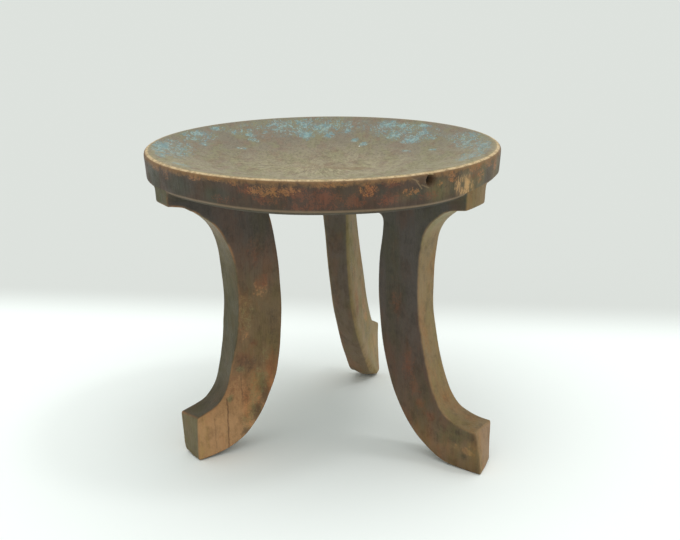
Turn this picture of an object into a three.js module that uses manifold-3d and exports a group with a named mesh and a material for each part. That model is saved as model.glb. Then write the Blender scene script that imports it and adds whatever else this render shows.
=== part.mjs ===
// A three-legged wooden stool with a round dished seat, in millimetres, +Z up.
// The origin is on the floor under the middle of the seat, whose lip leans a little.
// Each leg is a C-shaped slab, let into the underside of the seat with a stub tenon.

import * as THREE from 'three';
import { mergeVertices } from 'three/addons/utils/BufferGeometryUtils.js';
import Module from 'manifold-3d';

const wasm = await Module();
wasm.setup();

const degrees = THREE.MathUtils.degToRad;

// Seat: depths are measured down from the plane of the lip
const SEAT_RADIUS = 162.5;
const SEAT_HEIGHT = 284; // floor to the lip's plane, on the seat's axis
const SEAT_FALL_X = degrees(1.9); // the lip falls towards +X
const SEAT_FALL_Y = degrees(0.45); // and towards +Y
const LIP_WIDTH = 6; // worn round edge between the dish and the side
const LIP_DROP = 4; // height of the lip's rounding on the outside
const DISH_DEPTH = 23;
const RIM_DEPTH = 30; // height of the side with its chamfer
const RIM_TAPER = 2; // how far the side leans in towards its lower edge
const CHAMFER_HEIGHT = 4.5;
const CHAMFER_WIDTH = 7;
const BELLY_DEPTH = 9; // how far the underside swells below the rim
const SEAT_FACETS = 80;
const CURVE_STEPS = 12;
const LIP_STEPS = 4;

// Leg outline, shared by the three legs: an inset is measured in from the seat's radius
const WAIST_HEIGHT = 147; // where the shank stands nearest to the seat's axis
const WAIST_INSET = 100.8; // of the inner edge there
const SHANK_DEPTH = 43; // from the inner to the outer edge there
const HEAD_INSET = 87.5; // of the inner edge where it runs under the seat
const HEAD_BEND = 46; // reach of the inner edge's curve below the seat
const TAB_HEIGHT = 12; // how far the tab hangs below the straight part of the rim
const TAB_LENGTH = 17.5; // from the rim in to the arch under the tab
const TAB_FALL = 3.5; // how much lower the tab's underside lies there
const ARCH_SLOPE = degrees(29);
const ARCH_BEND = 34; // reach of the arch's curve along that slope
const ARCH_HEIGHT = 28; // reach of its curve down the shank, below the tab
const ANKLE_INSET = 41.5; // of the bend above the toe
const ANKLE_HEIGHT = 66;
const ANKLE_SLOPE = degrees(72);
const ANKLE_BEND = 21; // reach of the curve above the ankle
const CALF_BEND = 30; // reach of the outer edge's curve below the waist
const INSTEP_BEND = 13; // reach of the curve below the ankle
const TOE_BEND = 24; // reach of the curve along the toe's top
const TOE_SWELL = 2; // how far that curve rises towards the ankle
const HEEL_DROP = 75; // reach of the inner edge's curve below the waist
const ARRIS = 1.2; // worn corner along the flat sides
const TAPER_INSET = 57.5; // where a leg has its stated thickness
const LEAN_HEIGHT = 130; // where a leg has its stated sideways shift

// Joint between a leg and the seat
const JOINT_CLEARANCE = 0.3;
const TENON_SHOULDER = 9; // from the leg's inner edge to the tenon
const TENON_INSET = 32; // from the foot of the rim to the tenon
const TENON_WIDTH = 12;
const TENON_HEIGHT = 8; // above the seat's underside, at the tenon's middle
const TENON_ROOT = 12; // below it, inside the leg
const CUT_MARGIN = 20; // how far a cutting solid runs past what it cuts
const TRIM_MARGIN = 10; // how far a leg's slab runs past where it is trimmed off

// The legs were carved by eye, so each stands, tapers and leans in its own way:
// SHIFT sets a leg beside its radial line, OUTSET moves its whole outline out, TAPER is how
// much its thickness grows for each millimetre outwards, TOE_TOP and TOE_FOOT are how far
// the toe's end stands past the seat's radius at its top and at the floor, TOE_SKEW turns
// that end, PAD is the length that meets the floor, and HEEL_RUN rounds off the heel.
const LEFT_AZIMUTH = degrees(207.7);
const LEFT_SHIFT = -8.9;
const LEFT_OUTSET = -6.5;
const LEFT_THICKNESS = 29;
const LEFT_TAPER = -0.034;
const LEFT_LEAN = degrees(3.5);
const LEFT_TOE_TOP = -16;
const LEFT_TOE_FOOT = -16;
const LEFT_TOE_HEIGHT = 42;
const LEFT_TOE_SKEW = degrees(8);
const LEFT_PAD = 9;
const LEFT_HEEL_RUN = 55;

const RIGHT_AZIMUTH = degrees(321.4);
const RIGHT_SHIFT = 1.8;
const RIGHT_OUTSET = 2.8;
const RIGHT_THICKNESS = 24.5;
const RIGHT_TAPER = 0.078;
const RIGHT_LEAN = degrees(-0.1);
const RIGHT_TOE_TOP = 3;
const RIGHT_TOE_FOOT = 5;
const RIGHT_TOE_HEIGHT = 38.5;
const RIGHT_TOE_SKEW = degrees(9);
const RIGHT_PAD = 17;
const RIGHT_HEEL_RUN = 60;

const BACK_AZIMUTH = degrees(75.4);
const BACK_SHIFT = 6.5;
const BACK_OUTSET = 1.2;
const BACK_THICKNESS = 25;
const BACK_TAPER = 0.114;
const BACK_LEAN = degrees(3);
const BACK_TOE_TOP = -15.5;
const BACK_TOE_FOOT = -23.5;
const BACK_TOE_HEIGHT = 54;
const BACK_TOE_SKEW = 0;
const BACK_PAD = 13;
const BACK_HEEL_RUN = 25;

const LEGS = [
  {
    name: 'leg_left',
    azimuth: LEFT_AZIMUTH,
    shift: LEFT_SHIFT,
    outset: LEFT_OUTSET,
    thickness: LEFT_THICKNESS,
    taper: LEFT_TAPER,
    lean: LEFT_LEAN,
    toeTop: SEAT_RADIUS + LEFT_TOE_TOP,
    toeFoot: SEAT_RADIUS + LEFT_TOE_FOOT,
    toeHeight: LEFT_TOE_HEIGHT,
    toeSkew: LEFT_TOE_SKEW,
    padLength: LEFT_PAD,
    heelRun: LEFT_HEEL_RUN,
    colour: 0x6b4a33,
  },
  {
    name: 'leg_right',
    azimuth: RIGHT_AZIMUTH,
    shift: RIGHT_SHIFT,
    outset: RIGHT_OUTSET,
    thickness: RIGHT_THICKNESS,
    taper: RIGHT_TAPER,
    lean: RIGHT_LEAN,
    toeTop: SEAT_RADIUS + RIGHT_TOE_TOP,
    toeFoot: SEAT_RADIUS + RIGHT_TOE_FOOT,
    toeHeight: RIGHT_TOE_HEIGHT,
    toeSkew: RIGHT_TOE_SKEW,
    padLength: RIGHT_PAD,
    heelRun: RIGHT_HEEL_RUN,
    colour: 0x59402f,
  },
  {
    name: 'leg_back',
    azimuth: BACK_AZIMUTH,
    shift: BACK_SHIFT,
    outset: BACK_OUTSET,
    thickness: BACK_THICKNESS,
    taper: BACK_TAPER,
    lean: BACK_LEAN,
    toeTop: SEAT_RADIUS + BACK_TOE_TOP,
    toeFoot: SEAT_RADIUS + BACK_TOE_FOOT,
    toeHeight: BACK_TOE_HEIGHT,
    toeSkew: BACK_TOE_SKEW,
    padLength: BACK_PAD,
    heelRun: BACK_HEEL_RUN,
    colour: 0x66503a,
  },
];

const SEAT_COLOUR = 0x5a4a3a;
const ROUGHNESS = 0.72;
const WELD = 1e-4;

// A closed geometry with its shared corners merged, as a solid
function solid(geometry) {
  geometry.deleteAttribute('normal');
  geometry.deleteAttribute('uv');
  const merged = mergeVertices(geometry, WELD);
  const corners = merged.index.array;
  const kept = [];
  for (let i = 0; i < corners.length; i += 3) {
    const [a, b, c] = corners.slice(i, i + 3);
    if (a !== b && b !== c && c !== a) kept.push(a, b, c);
  }
  return new wasm.Manifold(
    new wasm.Mesh({
      numProp: 3,
      vertProperties: merged.attributes.position.array,
      triVerts: new Uint32Array(kept),
    })
  );
}

function mesh(name, shape, colour) {
  const result = shape.getMesh();
  const geometry = new THREE.BufferGeometry();
  geometry.setAttribute('position', new THREE.BufferAttribute(result.vertProperties, 3));
  geometry.setIndex(new THREE.BufferAttribute(result.triVerts, 1));
  geometry.computeVertexNormals();
  const material = new THREE.MeshStandardMaterial({
    color: colour,
    roughness: ROUGHNESS,
    metalness: 0,
  });
  const piece = new THREE.Mesh(geometry, material);
  piece.name = name;
  return piece;
}

// A profile of (radius, height) points turned about the seat's axis
function turned(profile) {
  return new THREE.LatheGeometry(profile, SEAT_FACETS).rotateX(Math.PI / 2);
}

const SIDE_FOOT = SEAT_RADIUS - RIM_TAPER;
const SIDE_HEIGHT = RIM_DEPTH - CHAMFER_HEIGHT;
const UNDERSIDE_RADIUS = SIDE_FOOT - CHAMFER_WIDTH;
const TAB_DROP = SIDE_HEIGHT + TAB_HEIGHT;

// Height of the seat's underside in the seat's own frame
function undersideHeight(radius) {
  return -RIM_DEPTH - BELLY_DEPTH * (1 - (radius / UNDERSIDE_RADIUS) ** 2);
}

// The swollen underside, the chamfer and the foot of the side, from the axis outwards.
// gap moves them down and out, to clear what is fitted against them.
function underneath(gap) {
  const profile = [];
  for (let i = 0; i <= CURVE_STEPS; i += 1) {
    const radius = (UNDERSIDE_RADIUS * i) / CURVE_STEPS;
    profile.push(new THREE.Vector2(radius, undersideHeight(radius) - gap));
  }
  profile.push(new THREE.Vector2(SIDE_FOOT + gap, -SIDE_HEIGHT));
  return profile;
}

function seatBody() {
  const profile = underneath(0);
  const lip = new THREE.QuadraticBezierCurve(
    new THREE.Vector2(SEAT_RADIUS, -LIP_DROP),
    new THREE.Vector2(SEAT_RADIUS, 0),
    new THREE.Vector2(SEAT_RADIUS - LIP_WIDTH, 0)
  );
  profile.push(...lip.getPoints(LIP_STEPS));
  const dishRadius = SEAT_RADIUS - LIP_WIDTH;
  for (let i = CURVE_STEPS - 1; i >= 0; i -= 1) {
    const share = i / CURVE_STEPS;
    profile.push(new THREE.Vector2(dishRadius * share, -DISH_DEPTH * (1 - share ** 2)));
  }
  return solid(turned(profile));
}

// All the space from the seat's underside upwards, which the legs stay out of
function seatSpace() {
  const profile = underneath(JOINT_CLEARANCE);
  profile.push(new THREE.Vector2(SEAT_RADIUS + CUT_MARGIN, -SIDE_HEIGHT));
  profile.push(new THREE.Vector2(SEAT_RADIUS + CUT_MARGIN, CUT_MARGIN));
  profile.push(new THREE.Vector2(0, CUT_MARGIN));
  return turned(profile);
}

// The space around the rim's foot, which trims each tab flush with the seat's side
function outsideRim() {
  const low = -TAB_DROP - CUT_MARGIN;
  return turned([
    new THREE.Vector2(SIDE_FOOT, low),
    new THREE.Vector2(SEAT_RADIUS + CUT_MARGIN, low),
    new THREE.Vector2(SEAT_RADIUS + CUT_MARGIN, 0),
    new THREE.Vector2(SIDE_FOOT, 0),
    new THREE.Vector2(SIDE_FOOT, low),
  ]);
}

// The space beyond a leg's toe, in the leg's frame
function beyondToe(leg) {
  const size = 2 * (leg.toeHeight + CUT_MARGIN);
  const box = new THREE.BoxGeometry(size, size, size).translate(size / 2, 0, 0);
  box.rotateY(Math.atan((leg.toeTop - leg.toeFoot) / leg.toeHeight)).rotateZ(leg.toeSkew);
  return box.translate(leg.toeTop, sideways(leg, leg.toeHeight), leg.toeHeight);
}

// A leg's tenon in the seat's frame, or its mortise, which is larger by the clearance
function tenon(leg, clearance) {
  const inner = SEAT_RADIUS - HEAD_INSET + leg.outset + TENON_SHOULDER;
  const outer = SIDE_FOOT - TENON_INSET;
  const middle = (inner + outer) / 2;
  const top = undersideHeight(middle) + TENON_HEIGHT + clearance;
  const bottom = undersideHeight(middle) - TENON_ROOT;
  const box = new THREE.BoxGeometry(
    outer - inner + 2 * clearance,
    TENON_WIDTH + 2 * clearance,
    top - bottom
  );
  box.translate(middle, sideways(leg, SEAT_HEIGHT - RIM_DEPTH), (top + bottom) / 2);
  return box.rotateZ(leg.azimuth);
}

// How far a leg's middle stands to the side of its radial line at a height
function sideways(leg, height) {
  return leg.shift + Math.tan(leg.lean) * (height - LEAN_HEIGHT);
}

// Where the seat's frame lies in the part
function seatPlace() {
  const turn = new THREE.Euler(-SEAT_FALL_Y, SEAT_FALL_X, 0);
  const place = new THREE.Matrix4().makeRotationFromEuler(turn);
  return place.setPosition(0, 0, SEAT_HEIGHT);
}

// Height of the lip's plane above a point of a leg's middle line
function lipHeight(leg, reach) {
  const x = reach * Math.cos(leg.azimuth) - leg.shift * Math.sin(leg.azimuth);
  const y = reach * Math.sin(leg.azimuth) + leg.shift * Math.cos(leg.azimuth);
  return SEAT_HEIGHT - Math.tan(SEAT_FALL_X) * x - Math.tan(SEAT_FALL_Y) * y;
}

// The C-shaped outline of a leg, as (distance from the axis, height)
function legOutline(leg) {
  const waistInner = SEAT_RADIUS - WAIST_INSET + leg.outset;
  const waistOuter = waistInner + SHANK_DEPTH;
  const headInner = SEAT_RADIUS - HEAD_INSET + leg.outset;
  const headTop = lipHeight(leg, headInner) - SIDE_HEIGHT;
  const tabReach = SEAT_RADIUS + TRIM_MARGIN;
  const archReach = SIDE_FOOT - TAB_LENGTH;
  const archHeight = lipHeight(leg, archReach) - TAB_DROP - TAB_FALL;
  const ankle = SEAT_RADIUS - ANKLE_INSET + leg.outset;
  const heel = leg.toeFoot - leg.padLength;

  const outline = new THREE.Shape();
  outline.moveTo(heel, 0);
  outline.lineTo(leg.toeFoot + TRIM_MARGIN, 0);
  outline.lineTo(leg.toeTop + TRIM_MARGIN, leg.toeHeight);
  outline.lineTo(leg.toeTop, leg.toeHeight);
  outline.bezierCurveTo(
    leg.toeTop - TOE_BEND,
    leg.toeHeight + TOE_SWELL,
    ankle + INSTEP_BEND * Math.cos(ANKLE_SLOPE),
    ANKLE_HEIGHT - INSTEP_BEND * Math.sin(ANKLE_SLOPE),
    ankle,
    ANKLE_HEIGHT
  );
  outline.bezierCurveTo(
    ankle - ANKLE_BEND * Math.cos(ANKLE_SLOPE),
    ANKLE_HEIGHT + ANKLE_BEND * Math.sin(ANKLE_SLOPE),
    waistOuter,
    WAIST_HEIGHT - CALF_BEND,
    waistOuter,
    WAIST_HEIGHT
  );
  outline.bezierCurveTo(
    waistOuter,
    archHeight - ARCH_HEIGHT,
    archReach - ARCH_BEND * Math.cos(ARCH_SLOPE),
    archHeight - ARCH_BEND * Math.sin(ARCH_SLOPE),
    archReach,
    archHeight
  );
  outline.lineTo(SIDE_FOOT, lipHeight(leg, SIDE_FOOT) - TAB_DROP);
  outline.lineTo(tabReach, lipHeight(leg, tabReach) - TAB_DROP);
  outline.lineTo(tabReach, lipHeight(leg, tabReach));
  outline.lineTo(headInner, headTop);
  outline.quadraticCurveTo(waistInner, WAIST_HEIGHT + HEAD_BEND, waistInner, WAIST_HEIGHT);
  outline.bezierCurveTo(
    waistInner,
    WAIST_HEIGHT - HEEL_DROP,
    heel - leg.heelRun,
    0,
    heel,
    0
  );
  return outline;
}

// The slab cut to that outline, then tapered and leaned, in the leg's frame: +X points
// out from the seat's axis and Y runs across the slab
function legSlab(leg) {
  const slab = new THREE.ExtrudeGeometry(legOutline(leg), {
    depth: leg.thickness - 2 * ARRIS,
    curveSegments: CURVE_STEPS,
    bevelThickness: ARRIS,
    bevelSize: ARRIS,
    bevelOffset: -ARRIS,
    bevelSegments: 1,
  });
  slab.translate(0, 0, ARRIS - leg.thickness / 2).rotateX(Math.PI / 2);
  const points = slab.attributes.position;
  const taperStart = SEAT_RADIUS - TAPER_INSET;
  for (let i = 0; i < points.count; i += 1) {
    const widening = 1 + (leg.taper * (points.getX(i) - taperStart)) / leg.thickness;
    points.setY(i, points.getY(i) * widening + sideways(leg, points.getZ(i)));
  }
  return solid(slab);
}

function makeSeat() {
  let body = seatBody();
  for (const leg of LEGS) body = body.subtract(solid(tenon(leg, JOINT_CLEARANCE)));
  const piece = mesh('seat', body, SEAT_COLOUR);
  piece.applyMatrix4(seatPlace());
  return piece;
}

function makeLeg(leg) {
  const seatInLeg = new THREE.Matrix4().makeRotationZ(-leg.azimuth).multiply(seatPlace());
  const body = legSlab(leg)
    .subtract(solid(seatSpace().applyMatrix4(seatInLeg)))
    .subtract(solid(outsideRim().applyMatrix4(seatInLeg)))
    .subtract(solid(beyondToe(leg)))
    .add(solid(tenon(leg, 0).applyMatrix4(seatInLeg)));
  const piece = mesh(leg.name, body, leg.colour);
  piece.rotation.z = leg.azimuth;
  return piece;
}

const stool = new THREE.Group();
stool.name = 'stool';
stool.add(makeSeat());
for (const leg of LEGS) stool.add(makeLeg(leg));

export default stool;
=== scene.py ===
import math

import bpy
import numpy as np
from mathutils import Matrix


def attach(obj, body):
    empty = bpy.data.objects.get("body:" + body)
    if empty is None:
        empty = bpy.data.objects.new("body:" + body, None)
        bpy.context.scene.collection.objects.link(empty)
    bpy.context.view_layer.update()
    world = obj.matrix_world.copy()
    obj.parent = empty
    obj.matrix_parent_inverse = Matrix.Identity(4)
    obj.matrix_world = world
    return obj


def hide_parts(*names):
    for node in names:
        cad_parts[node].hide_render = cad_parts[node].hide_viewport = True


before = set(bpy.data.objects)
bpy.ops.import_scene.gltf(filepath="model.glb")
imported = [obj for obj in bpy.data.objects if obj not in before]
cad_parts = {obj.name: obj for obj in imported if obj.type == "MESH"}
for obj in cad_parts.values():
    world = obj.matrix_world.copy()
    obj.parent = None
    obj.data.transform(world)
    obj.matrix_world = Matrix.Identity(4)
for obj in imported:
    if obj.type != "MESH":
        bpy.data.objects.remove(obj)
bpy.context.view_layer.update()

# Camera
# It stands about a metre in front of the stool and looks down on it a little. The stool
# leans to the left in the photograph, so the camera is rolled the other way.
CAMERA_PLACE = (0.0106, -1.0, 0.4718)
CAMERA_DOWN = math.radians(17.25)
CAMERA_ROLL = math.radians(-2.63)
CAMERA_LENS = 58.3

camera_data = bpy.data.cameras.new("camera")
camera_data.lens = CAMERA_LENS
camera = bpy.data.objects.new("camera", camera_data)
look = Matrix.Rotation(math.pi / 2 - CAMERA_DOWN, 4, "X") @ Matrix.Rotation(CAMERA_ROLL, 4, "Z")
camera.matrix_world = Matrix.Translation(CAMERA_PLACE) @ look
bpy.context.scene.collection.objects.link(camera)
bpy.context.scene.camera = camera

# Seat
# A round of heavy wood, hollowed with an adze into a shallow dish and left with an upright
# side and a swollen underside. It is the top of the block that the legs are carved from.
# Its lip is worn pale and carries a painted highlight along its inner corner, its dish keeps scraps of
# blue paint, and a knot has fallen out.
MM = 0.001  # shapes are worked out in millimetres and laid down in metres
SEAT_RADIUS = 162.4
SEAT_HEIGHT = 284.0  # floor to the plane of the lip, on the seat's axis
SEAT_FALL_X = math.radians(1.9)
SEAT_FALL_Y = math.radians(0.45)
LIP_WIDTH = 6.5
LIP_START = 158.0  # the dish's tool marks fade out at this radius
LIP_DROP = 3.6
DISH_DEPTH = 23.0
SIDE_TAPER = 1.4
SIDE_DEPTH = 23.8  # drop of the side's lower edge
FRONT_DEPTH = 2.8  # how much lower that edge runs in front
FRONT_AZIMUTH = math.radians(295)
RIGHT_RISE = 3.0  # and how much higher at the right, beyond the tab
RIGHT_AZIMUTH = math.radians(340)
CHAMFER_HEIGHT = 4.5
CHAMFER_WIDTH = 7.0
UNDERSIDE_DEPTH = 30.0
BELLY_DEPTH = 9.0
KNOT_AZIMUTH = 302.6
KNOT = (KNOT_AZIMUTH, 6.7, 11.5, 13.0, 9.0)  # azimuth, drop, width, height and depth of the hole
CHIP = (298.7, 5.0, 10.0, 8.0, 1.3)  # the shallow chip beside it

DISH_RINGS = 72
LIP_RINGS = 8
SIDE_RINGS = 32
CHAMFER_RINGS = 5
UNDERSIDE_RINGS = 40
SPOKES = 440
KNOT_SPOKES = 36  # extra spokes, close together, through the knot hole
KNOT_SPREAD = 6.0

# Soft marks on the seat: (azimuth in degrees, radius in the dish or drop outside it, length
# round the seat, height, strength).
DEEPEST_MARK = 40  # any larger number is a radius
DISH_MARKS = {
    "paint": [
        (177, 149, 74, 22, 0.8), (194, 148, 36, 12, 0.7), (152, 150, 22, 12, 0.6),
        (147, 145, 26, 18, 0.95), (136, 148, 20, 15, 0.7), (131, 134, 22, 15, 0.6),
        (127, 122, 9, 16, 0.7), (129, 110, 12, 16, 0.8), (144, 97, 12, 10, 0.7), (173, 129, 14, 8, 0.6),
        (156, 124, 26, 12, 0.35), (108, 140, 30, 26, 0.55), (98, 138, 22, 28, 0.75),
        (99, 112, 22, 38, 1.0), (90, 128, 26, 34, 0.8), (87, 108, 14, 24, 0.8), (78, 124, 12, 22, 0.55),
        (71, 98, 9, 14, 0.9), (63, 88, 12, 18, 0.75), (62, 141, 30, 26, 0.65), (53, 118, 28, 24, 0.5),
        (55, 142, 14, 14, 0.85), (39, 112, 26, 24, 0.95), (46, 147, 20, 12, 0.85),
        (41, 131, 20, 17, 0.95), (26, 88, 20, 12, 0.45), (31, 125, 13, 9, 0.7), (14, 107, 14, 7, 0.8),
        (17, 149, 30, 14, 0.7), (7, 135, 17, 9, 0.7), (355, 146, 60, 22, 0.5), (342, 139, 70, 36, 0.3),
        (210, 140, 40, 20, 0.25), (100, 132, 210, 66, 0.18), (178, 138, 110, 50, 0.25),
        (150, 140, 60, 40, 0.3), (48, 128, 110, 60, 0.3), (10, 140, 110, 40, 0.25),
    ],
    "speck": [(64, 82, 4, 5, 1.0), (53, 56, 4, 4, 0.9), (145, 96, 6, 5, 0.7)],
}
SIDE_MARKS = {
    "orange": [
        (255.5, 9.5, 54, 12, 0.7), (251, 10, 9, 9, 0.7), (256, 9, 10, 8, 0.8), (262, 8, 12, 8, 0.6),
        (244, 5, 14, 7, 0.5), (283, 9, 18, 14, 0.75), (230, 4, 18, 8, 0.6), (238, 3, 20, 6, 0.6),
        (272, 4, 40, 6, 0.5), (291, 3, 24, 6, 0.5), (311, 7, 14, 12, 0.6), (306, 11, 8, 8, 0.4),
        (322, 4, 28, 8, 0.7), (331, 5, 22, 10, 0.7), (338, 9, 18, 14, 0.5), (208, 5, 26, 8, 0.5),
        (216, 8, 10, 12, 0.4), (326, 14, 20, 16, 0.4), (296, 14, 22, 10, 0.3),
    ],
    "red": [
        (270, 14, 40, 20, 0.8), (279, 18, 24, 16, 0.8), (282, 10, 16, 16, 0.6), (262, 12, 34, 18, 0.7),
        (254, 16, 30, 14, 0.6), (290, 6, 24, 8, 0.5), (289, 18, 34, 14, 0.6), (302, 19, 30, 10, 0.4),
        (266, 22, 60, 8, 0.6), (240, 19, 34, 10, 0.3), (322, 10, 30, 10, 0.4), (248, 10, 20, 14, 0.5),
    ],
    "scrape": [
        (318.3, 17, 12, 24, 1.0), (318.6, 26, 10, 12, 0.9), (313.6, 16, 9, 20, 0.7),
        (316, 22, 12, 10, 0.6), (315.8, 10, 10, 10, 0.45), (321, 20, 6, 16, 0.4),
    ],
    "olive": [
        (206, 14, 50, 34, 1.0), (222, 15, 60, 30, 0.85), (238, 17, 50, 24, 0.6), (311, 16, 14, 22, 0.9),
        (326, 15, 30, 26, 0.9), (340, 13, 30, 22, 0.7), (298, 16, 30, 16, 0.6), (287, 13, 12, 20, 0.5),
    ],
    "khaki": [
        (322, 14, 80, 60, 0.9), (306, 16, 50, 36, 0.8), (340, 14, 60, 60, 0.85), (294, 17, 40, 20, 0.45),
        (330, 4, 70, 14, 0.5),
    ],
    # Painted shade: darker patches on the chamfer and underside just below the side's lower edge.
    "shaded_under_edge": [
        (304, 29, 90, 14, 0.9), (322, 28, 60, 14, 0.9), (285, 31, 50, 10, 0.4), (236, 30, 50, 12, 0.5),
    ],
    "gap": [
        (266.5, 5, 8, 5, 0.8), (286, 8, 6, 12, 0.9), (290, 12, 12, 8, 0.6), (293, 4, 9, 5, 0.7),
        (324, 6, 6, 4, 0.6), (329, 6, 7, 4, 0.7), (246, 14, 16, 9, 0.5), (261, 16, 10, 9, 0.6),
        (307, 14, 14, 10, 0.6), (312, 12, 5, 16, 0.5),
    ],
}
# Marks round the knot hole; the inside of the hole is painted nearly black as painted shade.
HOLE = [(302.6, 6.6, 16, 18, 1.0), (299.2, 5.4, 24, 13, 0.74), (296.6, 4.0, 16, 10, 0.6)]

# Scratches beside the knot: (azimuth, drop) of both ends, width, strength.
SCRATCHES = [
    (295.6, 2.8, 298.4, 6.4, 0.9, 0.45), (297.6, 6.0, 299.4, 12.5, 0.9, 0.5),
    (299.4, 9.6, 301.8, 12.6, 0.9, 0.4), (300.6, 7.6, 302.4, 9.2, 0.9, 0.35),
]
CHECK = (281.4, 7, 280.6, 17, 1.6, 0.9)  # a short drying crack in the front of the side

seat_turn = np.array(Matrix.Rotation(-SEAT_FALL_Y, 3, "X") @ Matrix.Rotation(SEAT_FALL_X, 3, "Y"))
seat_middle = np.array([0, 0, SEAT_HEIGHT])


def swell(distance, reach):
    """1 in the middle of a mark and 0 from its edge outwards, without a corner."""
    return np.clip(1 - (distance / reach) ** 2, 0, 1) ** 2


def hand_cut(azimuth, drop):
    """The slow ups and downs that the adze left on the side, in millimetres."""
    waves = 0.22 * np.cos(5 * azimuth + 1.1) + 0.16 * np.cos(9 * azimuth + 2.3)
    facets = 0.1 * np.cos(31 * azimuth + 0.05 * drop) + 0.07 * np.cos(47 * azimuth + 0.8)
    return waves + facets - 0.3


def side_depth(azimuth):
    """Drop of the side's lower edge below the lip."""
    front = np.clip(np.cos(azimuth - FRONT_AZIMUTH), 0, 1) ** 2
    right = np.clip(np.cos(azimuth - RIGHT_AZIMUTH), 0, 1) ** 18
    return SIDE_DEPTH + FRONT_DEPTH * front - RIGHT_RISE * right + 0.3 * np.cos(7 * azimuth + 0.6)


def side_radius(azimuth, drop):
    """Radius of the upright side, carried on below its lower edge for the tabs."""
    share = np.clip((drop - LIP_DROP) / (side_depth(azimuth) - LIP_DROP), 0, 2.2)
    return SEAT_RADIUS - SIDE_TAPER * share + hand_cut(azimuth, drop) * np.clip(3 * share, 0, 1)


def underside_drop(radius, azimuth):
    """Drop of the swollen underside below the lip's plane."""
    share = np.clip(radius / (SEAT_RADIUS - SIDE_TAPER - CHAMFER_WIDTH), 0, 1.2)
    lowered = side_depth(azimuth) + CHAMFER_HEIGHT - UNDERSIDE_DEPTH
    return UNDERSIDE_DEPTH + lowered * share**4 + BELLY_DEPTH * (1 - share**2)


def seat_profile(azimuth):
    """Radius and height of each ring, from the middle of the dish to that of the underside."""
    depth = side_depth(azimuth)
    foot = SEAT_RADIUS - SIDE_TAPER
    rings = []
    for share in np.linspace(0, 1, DISH_RINGS):
        rings.append((share * (SEAT_RADIUS - LIP_WIDTH), -DISH_DEPTH * (1 - share**2)))
    for share in np.linspace(0, 1, LIP_RINGS)[1:]:
        rings.append((SEAT_RADIUS - LIP_WIDTH * (1 - share) ** 2, -LIP_DROP * share**2))
    for share in np.linspace(0, 1, SIDE_RINGS)[1:]:
        drop = LIP_DROP + (depth - LIP_DROP) * share
        rings.append((side_radius(azimuth, drop), -drop))
    for share in np.linspace(0, 1, CHAMFER_RINGS)[1:]:
        rings.append((foot - CHAMFER_WIDTH * share, -depth - CHAMFER_HEIGHT * share))
    for share in np.linspace(1, 0, UNDERSIDE_RINGS)[1:]:
        radius = share * (foot - CHAMFER_WIDTH)
        rings.append((radius, -underside_drop(radius, azimuth)))
    return [np.array([np.broadcast_to(v, azimuth.shape) for v in values]) for values in zip(*rings)]


def worn_round(values):
    """Each ring moves towards the mean of its neighbours, which rounds off the corners."""
    result = values.copy()
    result[1:-1] = 0.25 * values[:-2] + 0.5 * values[1:-1] + 0.25 * values[2:]
    return result


def mark_depth(azimuth, drop, place, middle, width, height, depth):
    """Depth of one round mark in the side."""
    across = (azimuth - math.radians(place)) * SEAT_RADIUS / (width / 2)
    along = (drop - middle) / (height / 2)
    return depth * swell(np.hypot(across, along), 1)


def seat_marks(azimuth, out, marks):
    """Soft marks joined into one mask, out being the radius in the dish or the drop outside."""
    bare = np.ones_like(out)
    for place, middle, length, height, strength in marks:
        turn = (azimuth - math.radians(place) + math.pi) % (2 * math.pi) - math.pi
        reach = middle if middle > DEEPEST_MARK else SEAT_RADIUS
        distance = np.hypot(turn * reach / (length / 2), (out - middle) / (height / 2))
        bare = bare * (1 - strength * swell(distance, 1))
    return 1 - bare


def from_line(x, z, ax, az, bx, bz):
    """How far places are from the straight line between two points."""
    ex, ez = bx - ax, bz - az
    share = np.clip(((x - ax) * ex + (z - az) * ez) / (ex**2 + ez**2), 0, 1)
    return np.hypot(x - ax - share * ex, z - az - share * ez)


def seat_lines(azimuth, drop, lines):
    """Thin lines on the side, each from one (azimuth, drop) to another."""
    found = np.zeros_like(drop)
    for start, high, end, low, width, strength in lines:
        across = (np.degrees(azimuth) - start) * math.radians(SEAT_RADIUS)
        away = from_line(across, drop, 0, high, (end - start) * math.radians(SEAT_RADIUS), low)
        found = np.maximum(found, strength * np.clip(1.5 - away / (width / 2), 0, 1))
    return found


def new_piece(name, points, faces):
    """A mesh object with its place in its mesh, from points in millimetres."""
    mesh = bpy.data.meshes.new(name)
    mesh.from_pydata((points * MM).tolist(), [], faces)
    mesh.validate()
    piece = bpy.data.objects.new(name, mesh)
    bpy.context.scene.collection.objects.link(piece)
    return piece


def add_mask(piece, name, values):
    """A mask, or a measure in millimetres, for the material, one value for each point."""
    mask = piece.data.attributes.new(name, "FLOAT", "POINT")
    mask.data.foreach_set("value", np.asarray(values, np.float32))


def seat_to_part(points):
    return points @ seat_turn.T + seat_middle


def part_to_seat(points):
    return (points - seat_middle) @ seat_turn


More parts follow.
